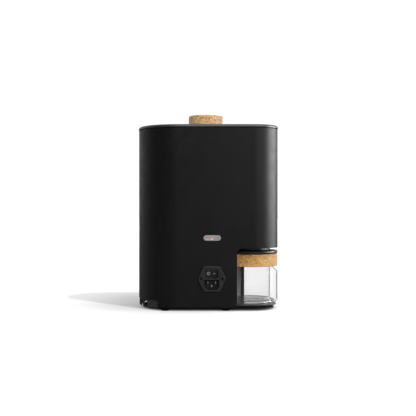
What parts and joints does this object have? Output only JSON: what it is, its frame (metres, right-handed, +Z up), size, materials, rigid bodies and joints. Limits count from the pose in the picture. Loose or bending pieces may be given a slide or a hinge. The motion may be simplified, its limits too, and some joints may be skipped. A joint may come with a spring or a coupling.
{
  "type": "home coffee roaster",
  "caption": "Tall matte black hot-air coffee roaster with a rear mains inlet and rocker switch, a cork doser cap and a glass chaff jar with a cork collar in a corner bay.",
  "frame": {"origin": "centre of the bounding box in plan, on the worktop under the feet", "axes": "+Z up; +Y out of the rear face that carries the mains inlet; -X towards the chaff jar end"},
  "size_m": [0.2617, 0.1651, 0.3584],
  "materials": {
    "black_coat": "fine matte black powder coat",
    "black_plastic": "satin moulded black plastic",
    "gloss_black": "gloss black window",
    "cork": "agglomerated cork, matte, fine dark and light granules",
    "glass": "clear borosilicate glass",
    "rubber": "matte black rubber",
    "dark_steel": "blackened steel",
    "steel": "brushed steel",
    "aluminium": "satin aluminium",
    "heater_wire": "oxidised resistance wire",
    "plated_brass": "nickel-plated brass",
    "badge": "satin mid-grey label plate",
    "board": "solder-masked circuit board",
    "mica": "mica sheet",
    "light": "milky diffuser"
  },
  "bodies": {
    "housing": {"outer_shell": "black_coat", "top_plate": "black_coat", "base_plate": "black_plastic", "base_tray": "black_plastic", "bay_liner": "black_plastic", "intake_grille": "black_plastic", "inlet_housing": "black_plastic", "outlet_neck": "black_plastic", "inlet_well": "black_plastic", "blower_volute": "black_plastic", "relay": "black_plastic", "display_window": "gloss_black", "foot_1": "rubber", "foot_2": "rubber", "foot_3": "rubber", "foot_4": "rubber", "blower_stand": "rubber", "inlet_screw_left": "dark_steel", "inlet_screw_right": "dark_steel", "mid_deck": "steel", "base_screw_1": "steel", "base_screw_2": "steel", "base_screw_3": "steel", "base_screw_4": "steel", "deck_post_1": "steel", "deck_post_2": "steel", "deck_post_3": "steel", "deck_post_4": "steel", "chamber_head": "steel", "roast_chamber": "steel", "air_plate": "steel", "heater_shroud": "steel", "temperature_probe": "steel", "blower_motor": "steel", "capacitor": "steel", "discharge_duct": "aluminium", "air_duct": "aluminium", "heat_sink": "aluminium", "heater_coil": "heater_wire", "inlet_pin_line": "plated_brass", "inlet_pin_neutral": "plated_brass", "inlet_pin_earth": "plated_brass", "rear_badge": "badge", "control_board": "board", "power_board": "board", "heater_former": "mica", "light_ring": "light"},
    "doser": {"cork_cap": "cork", "doser_cup": "glass"},
    "button": {"control_button": "black_plastic"},
    "rocker": {"power_rocker": "black_plastic"},
    "rotor": {"blower_impeller": "aluminium", "motor_shaft": "steel"},
    "shutter": {"bean_shutter": "steel"},
    "jar": {"jar_outer_glass": "glass", "jar_inner_glass": "glass", "jar_seal": "rubber", "cork_collar": "cork", "chaff_lid": "black_plastic", "chaff_filter": "steel"}
  },
  "joints": [
    {"name": "doser_lift", "type": "slide", "parent": "housing", "child": "doser", "axis": [0, 0, 1], "range_m": [0, 0.08]},
    {"name": "button_press", "type": "slide", "parent": "housing", "child": "button", "axis": [0, 1, 0], "range_m": [0, 0.0012], "stiffness_N_per_m": 600},
    {"name": "rocker_tilt", "type": "hinge", "parent": "housing", "child": "rocker", "pos_m": [-0.0062, 0.0762, 0.0672], "axis": [0, 0, 1], "range_deg": [0, 16]},
    {"name": "impeller_spin", "type": "hinge", "parent": "housing", "child": "rotor", "pos_m": [0.062, -0.0018, 0.038], "axis": [0, 0, 1], "continuous": true},
    {"name": "shutter_swing", "type": "hinge", "parent": "housing", "child": "shutter", "pos_m": [0.0049, -0.0398, 0.2605], "axis": [0, 0, 1], "range_deg": [-60, 0]},
    {"name": "jar_slide", "type": "slide", "parent": "housing", "child": "jar", "axis": [-1, 0, 0], "range_m": [0, 0.12]}
  ]
}
